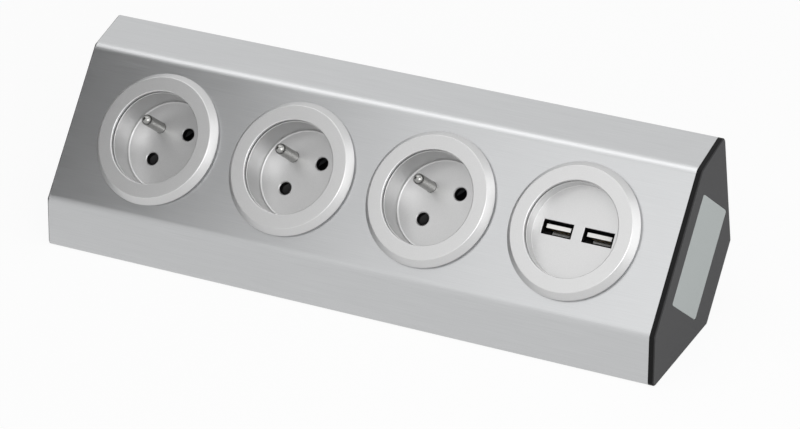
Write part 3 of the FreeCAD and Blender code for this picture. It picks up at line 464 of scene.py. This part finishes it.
# %% Materials of the hidden parts
INNER = {
    "screw_steel": finish(
        "zinc_dark_steel", "#a9abac", "#b9bbbc", (0.3, 0.4), 1.0, grain=0.5, relief=0.002,
    ),
    "spring_steel": finish(
        "drawn_spring_wire", "#8f9193", "#9ea0a2", (0.25, 0.35), 1.0, grain=0.2,
    ),
    "contact_brass": finish(
        "rolled_brass", "#c39a4c", "#d0a85a", (0.25, 0.35), 1.0, grain=0.6, relief=0.001,
    ),
    "grommet_rubber": finish(
        "moulded_rubber", "#161616", "#1e1e1e", (0.65, 0.78), grain=0.3, relief=0.006,
    ),
    "circuit_board": finish(
        "green_solder_resist", "#12502c", "#196038", (0.3, 0.4), grain=1.2,
    ),
    "terminal_plastic": finish(
        "moulded_green_nylon", "#35734a", "#3d7f53", (0.4, 0.5), grain=0.5,
    ),
    "transformer_tape": finish(
        "polyester_tape", "#b89a30", "#c7a93c", (0.25, 0.35), grain=2.0, relief=0.004,
    ),
    "capacitor_sleeve": finish(
        "black_shrink_sleeve", "#16161d", "#1e1e26", (0.2, 0.3), grain=1.0,
    ),
    "chip_plastic": finish(
        "moulded_epoxy", "#121212", "#191919", (0.55, 0.65), grain=0.2, relief=0.003,
    ),
    "live_insulation": finish("brown_pvc", "#5a3420", "#643b25", (0.35, 0.45), grain=0.8),
    "neutral_insulation": finish("blue_pvc", "#1f4c9c", "#2757ab", (0.35, 0.45), grain=0.8),
    "earth_insulation": finish(
        "green_yellow_pvc", "#2f8a35", "#d6c92a", (0.35, 0.45), grain=4.0, detail=0.0,
    ),
    "cover_metal": brushed_aluminium,
    "black_plastic": black_abs,
    "silver_plastic": silver_lacquer,
    "grey_plastic": grey_nylon,
    "shutter_plastic": shutter_black,
    "rating_label": label_foil,
    "plated_brass": nickel,
    "shell_steel": shell_steel_painted_shade,
    "tongue_plastic": tongue_painted_shade,
}
print(len(INNER), "kinds of part have a finish")

# %% Finishes on the nodes of the CAD model
slot_of = {part["node"]: part["material_slot"] for part in frame["record"]["subparts"]}
for node, thing in cad_nodes.items():
    material = INNER[slot_of[node]]
    if thing.material_slots:
        for slot in thing.material_slots:
            slot.material = material
    else:
        thing.data.materials.append(material)
print("finishes on", len(cad_nodes), "nodes")

# %% [markdown]
# ## Turned and folded shapes
# Most of what shows follows one of two rules: a cross-section carried along a line, such as the
# folded sheet, or one carried round an axis, such as a ring or a cup. Geometry Nodes do both
# with Curve to Mesh. The cross-section is drawn as a chain of points, and each point says how
# far its corner is rounded. Rounding matters more than anything else here: it is the rounded
# edges that catch the light.

# %% Outlines for the node trees
SOCKETS = 3
MODULES = 4
PITCH = 66.0
FIRST_CENTRE = -100.0
SLANT = math.radians(45)


def chain(name, corners, closed=False):
    """A mesh of points and edges. A corner is across, up and rounding, in millimetres."""
    count = len(corners)
    edges = [(i, (i + 1) % count) for i in range(count if closed else count - 1)]
    mesh = bpy.data.meshes.new(name)
    mesh.from_pydata([(across * MM, up * MM, 0) for across, up, _ in corners], edges, [])
    rounding = mesh.attributes.new("rounding", "FLOAT", "POINT")
    rounding.data.foreach_set("value", [radius * MM for _, _, radius in corners])
    return mesh


def on_face(across=0.0, up=0.0, out=0.0, module=0):
    """A point in a module's own frame on the slanted face, turned to the object's, in metres."""
    x = FIRST_CENTRE + PITCH * module + across
    y = FACE_MIDDLE[0] + math.cos(SLANT) * (up - out)
    z = FACE_MIDDLE[1] + math.sin(SLANT) * (up + out)
    return Vector((x, y, z)) * MM


print("module centres at", [round(on_face(module=i).x / MM) for i in range(MODULES)], "mm")


# %% Growing a mesh from a tree
def shape_tree(name, **sizes):
    """A tree with a geometry input and named sizes, and the sockets that give them."""
    tree = bpy.data.node_groups.new(name, "GeometryNodeTree")
    tree.interface.new_socket("Geometry", in_out="INPUT", socket_type="NodeSocketGeometry")
    for label, kind in sizes.items():
        tree.interface.new_socket(label, in_out="INPUT", socket_type="NodeSocket" + kind)
    tree.interface.new_socket("Geometry", in_out="OUTPUT", socket_type="NodeSocketGeometry")
    return tree, tree.nodes.new("NodeGroupInput").outputs


def plain_mesh(thing):
    """The mesh that an object has once its modifiers have run."""
    bpy.context.view_layer.update()
    evaluated = thing.evaluated_get(bpy.context.evaluated_depsgraph_get())
    return bpy.data.meshes.new_from_object(evaluated)


def grow(name, tree, mesh, **sizes):
    """Runs a tree on a chain of points and keeps the result as a plain mesh."""
    seed = put(name + "_seed", mesh)
    modifier = seed.modifiers.new("shape", "NODES")
    modifier.node_group = tree
    for item in tree.interface.items_tree:
        if item.in_out == "INPUT" and item.name in sizes:
            modifier[item.identifier] = sizes[item.name]
    grown = plain_mesh(seed)
    bpy.data.objects.remove(seed)
    return grown


# %% [markdown]
# A mesh from nodes or from CAD has hard facets. The next helper gives it its final shading:
# edges sharper than an angle stay sharp or get a small bevel, and large faces win over small
# ones when normals are averaged, so that a flat face stays flat up to its rounded edge.

# %% Finishing a piece
BEVEL_STEPS = 3
CUBIC_CENTIMETRES = 1e6


def volume_of(mesh):
    """The volume inside a mesh in cubic centimetres. It is above zero if the faces point out."""
    mesh.calc_loop_triangles()
    total = 0.0
    for triangle in mesh.loop_triangles:
        a, b, c = (mesh.vertices[i].co for i in triangle.vertices)
        total += a.dot(b.cross(c)) / 6
    return total * CUBIC_CENTIMETRES


def finished(name, mesh, body, slot, stands_for=(), bevel=0.0, angle=30, material=None):
    """Shades a mesh, makes it an object, and ties it to its body and its CAD nodes."""
    mesh.shade_smooth()
    mesh.set_sharp_from_angle(angle=math.radians(angle))
    rough = put(name + "_rough", mesh)
    if bevel:
        edge = rough.modifiers.new("edge", "BEVEL")
        edge.width = bevel * MM
        edge.segments = BEVEL_STEPS
        edge.limit_method = "ANGLE"
        edge.angle_limit = math.radians(angle)
    rough.modifiers.new("shading", "WEIGHTED_NORMAL").keep_sharp = True
    done = plain_mesh(rough)
    bpy.data.objects.remove(rough)
    done.name = name
    done.materials.clear()
    done.materials.append(material or INNER[slot])
    thing = put(name, done)
    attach(thing, body)
    if stands_for:
        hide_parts(*stands_for)
    print(f"{name}: {len(done.polygons)} faces, {volume_of(done):.2f} cm3")


# %% [markdown]
# Three trees follow, for the sheet, for turned parts and for small strips. They share the steps
# of the next cell: rounding an outline, setting copies on the slanted face and ending the tree.
# A tree ends by making its copies real geometry, because the export drops copies that are only
# references.

# %% Steps that the trees share
def rounded_outline(tree, points, steps):
    """Turns a chain of points into a curve with each corner rounded as its point says."""
    corner = add(
        tree, "GeometryNodeInputNamedAttribute", {"Name": "rounding"}, data_type="FLOAT",
    )
    fillet = {
        "Curve": add(tree, "GeometryNodeMeshToCurve", {"Mesh": points}).outputs[0],
        "Radius": corner.outputs["Attribute"], "Count": steps, "Limit Radius": True,
    }
    return add(tree, "GeometryNodeFilletCurve", fillet, mode="POLY").outputs[0]


def tilted_copies(tree, given, points, piece):
    """Sets a copy of a piece on each point, tilted as the tree's input says."""
    tilt = add(tree, "ShaderNodeCombineXYZ", {"X": given["Tilt"]})
    copies = {"Points": points, "Instance": piece, "Rotation": tilt.outputs[0]}
    return add(tree, "GeometryNodeInstanceOnPoints", copies).outputs[0]


def row_of_copies(tree, given, piece):
    """Sets copies in a straight row, from a start and a pitch."""
    row = {"Count": given["Count"], "Start Location": given["Start"], "Offset": given["Pitch"]}
    row = add(tree, "GeometryNodeMeshLine", row, mode="OFFSET")
    return tilted_copies(tree, given, row.outputs[0], piece)


def end_tree(tree, given, geometry):
    """Makes copies real, gives all of it its finish, and sends it out of the tree."""
    real = add(tree, "GeometryNodeRealizeInstances", {"Geometry": geometry})
    painted = {"Geometry": real.outputs[0], "Material": given["Finish"]}
    painted = add(tree, "GeometryNodeSetMaterial", painted)
    add(tree, "NodeGroupOutput", {"Geometry": painted.outputs[0]})
    return tree


# %% [markdown]
# ## The folded cover
# The real cover is one sheet of 1.5 mm aluminium, folded twice at 45 degrees on a press brake,
# with a short return at each edge. It could be built from five boxes with bevels, but then
# the sheet would not be the same thickness round its folds. Here the section of the sheet is a
# closed outline with an 8 mm radius outside each fold and 6.5 mm inside. Nodes carry it along
# the strip, from its lap over the left cap to the edge of the right one, and punch the four
# openings, one every 66 mm.

# %% The sheet's section
# Each corner of half the section is depth, height and rounding. The inside corners are where
# the outside lines, moved in by the sheet's thickness, meet.
SHEET = 1.5
SIDE = 75.0
SECTION_MIDDLE = 37.7098
OUTSIDE = [(8.0, 0.0, 0.1), (0.0, 0.0, 2.0), (4.1, 21.4, 8.0)]
INSIDE = [(8.0, SHEET, 0.1), (1.8147, SHEET, 0.5), (5.4865, 20.6652, 6.5)]
COVER_ENDS = (-143.9, 141.9)
OPENING = 22.0
PUNCH_LENGTH = 20.0
FOLD_STEPS = 12
ROUND_STEPS = 128


def both_halves(half):
    """A half of the section and its mirror image in the line from corner to corner."""
    return half + [(SIDE - z, SIDE - y, radius) for y, z, radius in half[::-1]]


def folded_sheet_tree():
    """Carries a section along X and punches round openings through the slanted face."""
    tree, given = shape_tree(
        "folded_sheet", Left="Float", Right="Float", Opening="Float", Start="Vector",
        Pitch="Vector", Count="Int", Tilt="Float", Finish="Material",
    )
    section = rounded_outline(tree, given["Geometry"], FOLD_STEPS)
    left = add(tree, "ShaderNodeCombineXYZ", {"X": given["Left"]})
    right = add(tree, "ShaderNodeCombineXYZ", {"X": given["Right"]})
    line = {"Start": left.outputs[0], "End": right.outputs[0]}
    line = add(tree, "GeometryNodeCurvePrimitiveLine", line)
    sheet = add(
        tree, "GeometryNodeCurveToMesh",
        {"Curve": line.outputs[0], "Profile Curve": section, "Fill Caps": True},
    )
    punch = add(
        tree, "GeometryNodeMeshCylinder",
        {"Vertices": ROUND_STEPS, "Radius": given["Opening"], "Depth": PUNCH_LENGTH * MM},
    )
    punches = row_of_copies(tree, given, punch.outputs[0])
    opened = add(
        tree, "GeometryNodeMeshBoolean", {"Mesh 1": sheet.outputs[0], "Mesh 2": punches},
        operation="DIFFERENCE", solver="EXACT",
    )
    return end_tree(tree, given, opened.outputs[0])


# %% The folded cover
section = both_halves(OUTSIDE) + both_halves(INSIDE)[::-1]
section = [(SECTION_MIDDLE - y, -z, radius) for y, z, radius in section]
cover_mesh = grow(
    "folded_cover", folded_sheet_tree(), chain("sheet_section", section, closed=True),
    Left=COVER_ENDS[0] * MM, Right=COVER_ENDS[1] * MM, Opening=OPENING * MM, Start=on_face(),
    Pitch=Vector((PITCH * MM, 0, 0)), Count=MODULES, Tilt=SLANT, Finish=brushed_aluminium,
)
finished("folded_cover", cover_mesh, "housing", "cover_metal", ["front_cover"], angle=25)

# %% [markdown]
# ## Rings, cups and pins
# Each ring is injection moulded: a flat top, a slanted rim with a soft edge, and a hollow
# underside that sits on the flange of its cup. The cup is a round recess with two holes for the
# pins of a plug, and a fixed pin for the earth. All of them are turned shapes. Each could be
# turned by hand with the Spin tool, but one tree serves them all: it carries an outline round an
# axis, drills it if asked, and sets a row of copies on the slanted face.

# %% The tree for turned parts
AXIS = 24.0
ROUNDING_STEPS = 5
SAME_SPOT = 2e-6


def turned(name, corners, closed=False):
    """An outline of radius, height above the face and rounding, ready for the tree below."""
    moved = [(radius - AXIS, -height, rounding) for radius, height, rounding in corners]
    return chain(name, moved, closed)


def turned_tree(name, drill=None):
    """Carries an outline round an axis and copies it. Drill adds what is cut from each copy."""
    tree, given = shape_tree(
        name, Steps="Int", Axis="Float", Start="Vector", Pitch="Vector", Count="Int",
        Tilt="Float", Finish="Material",
    )
    section = rounded_outline(tree, given["Geometry"], ROUNDING_STEPS)
    circle = {"Resolution": given["Steps"], "Radius": given["Axis"]}
    swept = {
        "Curve": add(tree, "GeometryNodeCurvePrimitiveCircle", circle).outputs[0],
        "Profile Curve": section,
    }
    swept = add(tree, "GeometryNodeCurveToMesh", swept)
    whole = {"Geometry": swept.outputs[0], "Distance": SAME_SPOT}
    part = add(tree, "GeometryNodeMergeByDistance", whole)
    if drill:
        part = add(
            tree, "GeometryNodeMeshBoolean", {"Mesh 1": part.outputs[0], "Mesh 2": drill(tree)},
            operation="DIFFERENCE", solver="EXACT",
        )
    return end_tree(tree, given, row_of_copies(tree, given, part.outputs[0]))


def turned_row(name, tree, outline, count):
    """Grows a turned part on each of the first modules of the row."""
    return grow(
        name, tree, outline, Steps=ROUND_STEPS, Axis=AXIS * MM, Start=on_face(),
        Pitch=Vector((PITCH * MM, 0, 0)), Count=count, Tilt=SLANT, Finish=silver_lacquer,
    )


# %% The trim rings
RING = [
    (27.7, 0.2, 0.0), (25.85, 3.1, 0.1), (23.3, 3.1, 0.1), (23.3, 1.2, 0.0), (21.7, 1.2, 0.0),
    (21.7, 3.3, 0.1), (20.3, 3.3, 0.1), (20.3, 4.4, 0.45), (26.5, 4.4, 0.5), (29.0, 1.2, 0.4),
    (28.2, 0.2, 0.1),
]
ring_outline = turned("ring_outline", RING, closed=True)
ring_mesh = turned_row("trim_rings", turned_tree("trim_ring"), ring_outline, MODULES)
rings = [f"trim_ring_{number + 1}" for number in range(MODULES)]
finished("trim_rings", ring_mesh, "housing", "silver_plastic", rings)

# %% The socket cups
CUP_FLOOR = -10.6
CUP = [
    (0.0, CUP_FLOOR, 0.0), (20.0, CUP_FLOOR, 0.9), (20.0, 2.3, 0.3), (21.5, 2.3, 0.2),
    (21.5, 1.2, 0.0), (26.8, 1.2, 0.2), (26.8, 0.0, 0.0), (21.5, 0.0, 0.0), (21.5, -13.8, 0.3),
    (3.5, -13.8, 0.0), (3.5, -20.6, 0.3), (1.55, -20.6, 0.0), (1.55, -12.0, 0.0),
    (0.0, -12.0, 0.0),
]
PIN_SPOT = 6.7175
PIN_HOLE = 2.75
PIN_DRILL_MIDDLE = -15.9
LEAD_IN = 3.25
LEAD_IN_DEPTH = 0.5
LEAD_IN_BOTTOM = CUP_FLOOR - 0.4
EARTH_SPOT = 7.0711
EARTH_HOLE = 2.5
EARTH_DRILL_MIDDLE = -12.0
DRILL_LENGTH = 12
HOLE_STEPS = 48


def pin_holes(tree):
    """Two holes for a plug's pins, with a small lead-in each, and a hole for the earth pin."""

    def drill_bit(radius, place):
        """A cylinder at a place, in millimetres."""
        size = {"Vertices": HOLE_STEPS, "Radius": radius * MM, "Depth": DRILL_LENGTH * MM}
        moved = {
            "Geometry": add(tree, "GeometryNodeMeshCylinder", size).outputs[0],
            "Translation": [distance * MM for distance in place],
        }
        return add(tree, "GeometryNodeTransform", moved).outputs[0]

    flare = add(
        tree, "GeometryNodeMeshCone",
        {"Vertices": HOLE_STEPS, "Radius Top": LEAD_IN * MM, "Radius Bottom": PIN_HOLE * MM,
         "Depth": LEAD_IN_DEPTH * MM},
    )
    high = add(
        tree, "GeometryNodeTransform",
        {"Geometry": flare.outputs[0], "Translation": (0, 0, LEAD_IN_BOTTOM * MM)},
    )
    tool = add(tree, "GeometryNodeMeshBoolean", operation="UNION", solver="EXACT")
    tree.links.new(drill_bit(PIN_HOLE, (0, 0, PIN_DRILL_MIDDLE)), tool.inputs["Mesh 2"])
    tree.links.new(high.outputs[0], tool.inputs["Mesh 2"])
    spots = {
        "Count": 2, "Start Location": (PIN_SPOT * MM, PIN_SPOT * MM, 0),
        "Offset": (-2 * PIN_SPOT * MM, -2 * PIN_SPOT * MM, 0),
    }
    spots = add(tree, "GeometryNodeMeshLine", spots, mode="OFFSET")
    pair = {"Points": spots.outputs[0], "Instance": tool.outputs[0]}
    pair = add(tree, "GeometryNodeInstanceOnPoints", pair)
    earth = drill_bit(EARTH_HOLE, (-EARTH_SPOT, EARTH_SPOT, EARTH_DRILL_MIDDLE))
    both = add(tree, "GeometryNodeJoinGeometry")
    tree.links.new(pair.outputs[0], both.inputs[0])
    tree.links.new(earth, both.inputs[0])
    return add(tree, "GeometryNodeRealizeInstances", {"Geometry": both.outputs[0]}).outputs[0]


cup_outline = turned("cup_outline", CUP)
cup_mesh = turned_row("socket_cups", turned_tree("socket_cup", pin_holes), cup_outline, SOCKETS)
cups = [f"socket_cup_{number + 1}" for number in range(SOCKETS)]
finished("socket_cups", cup_mesh, "housing", "silver_plastic", cups, material=cup_lacquer_and_hole_shade)

# %% [markdown]
# ## Pieces that keep their CAD shape
# The caps, the base, the pins, the shutters and the charger's parts already have the right
# shape. They could be modelled again, but a copy is exact. A copy of each is merged into one
# skin, its flat faces are joined up, and a Bevel modifier takes the hardness off its edges:
# about 0.3 mm on moulded plastic, where the tool's corners are never quite sharp, 0.1 mm on
# steel, and less on the left cap, whose lip is only 0.6 mm wide. The copy stands for its node.

# %% Copies with softened edges
FLAT_ANGLE = 0.4


def merged_copy(node):
    """A CAD node's mesh as one skin with its flat faces joined up."""
    shape = bmesh.new()
    shape.from_mesh(cad_nodes[node].data)
    bmesh.ops.remove_doubles(shape, verts=shape.verts, dist=SAME_SPOT)
    bmesh.ops.dissolve_limit(
        shape, angle_limit=math.radians(FLAT_ANGLE), verts=shape.verts, edges=shape.edges,
        delimit={"NORMAL"},
    )
    mesh = bpy.data.meshes.new(node + "_skin")
    shape.to_mesh(mesh)
    shape.free()
    return mesh


BODY_OF = {f"shutter_{number + 1}": f"shutter_{number + 1}" for number in range(SOCKETS)}
EDGES = {
    "right_end_cap": 0.35, "left_end_cap": 0.08, "rear_base": 0.3, "cable_grommet": 0.25,
    "cap_screws": 0.12, "usb_insert": 0.3, "usb_shell_left": 0.08, "usb_shell_right": 0.08,
    "usb_tongue_left": 0.12, "usb_tongue_right": 0.12,
}
for number in range(SOCKETS):
    EDGES[f"earth_pin_{number + 1}"] = 0.0
    EDGES[f"shutter_{number + 1}"] = 0.12
for node, edge in EDGES.items():
    finished(
        node + "_soft", merged_copy(node), BODY_OF.get(node, "housing"), slot_of[node], [node],
        bevel=edge, material=cap_abs_painted_light if node.endswith("end_cap") else None,
    )

# %% [markdown]
# ## The rating plate
# A thin foil label in a shallow recess of the right cap. It is left blank. Its corners are
# rounded, as they are punched. A new outline could be drawn for that, but a bevel on the four
# upright edges of the CAD shape gives it in one step.

# %% The rating plate
CORNER = 1.2
CORNER_STEPS = 6
ALONG_X = 0.9
plate = bmesh.new()
plate.from_mesh(merged_copy("rating_plate"))
upright = []
for edge in plate.edges:
    direction = (edge.verts[0].co - edge.verts[1].co).normalized()
    if abs(direction.x) > ALONG_X:
        upright.append(edge)
bmesh.ops.bevel(
    plate, geom=upright, offset=CORNER * MM, segments=CORNER_STEPS, affect="EDGES", profile=0.5,
)
plate_mesh = bpy.data.meshes.new("rating_plate_foil")
plate.to_mesh(plate_mesh)
plate.free()
finished(
    "blank_rating_plate", plate_mesh, "housing", "rating_label", ["rating_plate"], bevel=0.05,
)

# %% [markdown]
# ## Contacts and springs of the ports
# Each tongue has four gilded contacts on its underside, at the spacing that the plug needs, and
# each shell has two spring fingers above and two below. Sixteen small boxes could be placed one
# by one. They are all short strips, so one tree makes a strip with rounded edges and puts one at
# each point that it is given.

# %% The tree for strips
STRIP_ROUNDING_STEPS = 3


def strip_tree():
    """Sets a short strip, which points into the face, at each given point."""
    tree, given = shape_tree(
        "strips", Width="Float", Height="Float", Length="Float", Rounding="Float",
        Tilt="Float", Finish="Material",
    )
    shape = add(
        tree, "GeometryNodeCurvePrimitiveQuadrilateral",
        {"Width": given["Width"], "Height": given["Height"]}, mode="RECTANGLE",
    )
    soft = {
        "Curve": shape.outputs[0], "Radius": given["Rounding"],
        "Count": STRIP_ROUNDING_STEPS, "Limit Radius": True,
    }
    soft = add(tree, "GeometryNodeFilletCurve", soft, mode="POLY")
    depth = add(tree, "ShaderNodeMath", {0: given["Length"], 1: -1.0}, operation="MULTIPLY")
    end = add(tree, "ShaderNodeCombineXYZ", {"Z": depth.outputs[0]})
    line = {"Start": (0, 0, 0), "End": end.outputs[0]}
    line = add(tree, "GeometryNodeCurvePrimitiveLine", line)
    strip = add(
        tree, "GeometryNodeCurveToMesh",
        {"Curve": line.outputs[0], "Profile Curve": soft.outputs[0], "Fill Caps": True},
    )
    return end_tree(tree, given, tilted_copies(tree, given, given["Geometry"], strip.outputs[0]))


def strips_at(name, spots, size, rounding, tilt, material):
    """Strips of a width, height and length in millimetres, at points on the charger's face."""
    points = bpy.data.meshes.new(name + "_spots")
    points.from_pydata([on_face(*spot, module=SOCKETS) for spot in spots], [], [])
    width, height, length = size
    return grow(
        name, strips, points, Width=width * MM, Height=height * MM, Length=length * MM,
        Rounding=rounding * MM, Tilt=SLANT + math.radians(tilt), Finish=material,
    )


# %% Contacts and spring fingers
PORTS = (-9.2, 9.2)
PORT_FRONT = -3.4
TONGUE_MIDDLE = 0.7
TONGUE_THICKNESS = 1.84
CONTACT_SPOTS = (-3.5, -1.0, 1.0, 3.5)
CONTACT = (1.0, 0.2, 5.5)
CONTACT_STANDS_OUT = 0.08
CONTACT_SET_BACK = 3.5
CONTACT_ROUNDING = 0.08
FINGER_SPOTS = (-3.0, 3.0)
FINGER_HEIGHT = 2.4
FINGER = (2.2, 0.16, 5.0)
FINGER_SET_BACK = 3.0
FINGER_ROUNDING = 0.06
FINGER_LEAN = 5
gold = finish(
    "gilded_contact", "#5e4b26", "#6a5630", (0.3, 0.4), 1.0, grain=0.4, relief=0.001,
)
strips = strip_tree()
under = TONGUE_MIDDLE - TONGUE_THICKNESS / 2
spots = [
    (port + across, under - CONTACT_STANDS_OUT, PORT_FRONT - CONTACT_SET_BACK)
    for port in PORTS for across in CONTACT_SPOTS
]
contact_mesh = strips_at("port_contacts", spots, CONTACT, CONTACT_ROUNDING, 0, gold)
finished("port_contacts", contact_mesh, "housing", "contact_brass", material=gold)
for side, name in ((1, "port_springs_upper"), (-1, "port_springs_lower")):
    spots = [
        (port + across, side * FINGER_HEIGHT, PORT_FRONT - FINGER_SET_BACK)
        for port in PORTS for across in FINGER_SPOTS
    ]
    lean = side * FINGER_LEAN
    # The fingers take the near-black shell steel, painted shade for the inside of the ports.
    finger_mesh = strips_at(name, spots, FINGER, FINGER_ROUNDING, lean, shell_steel_painted_shade)
    finished(name, finger_mesh, "housing", "shell_steel")
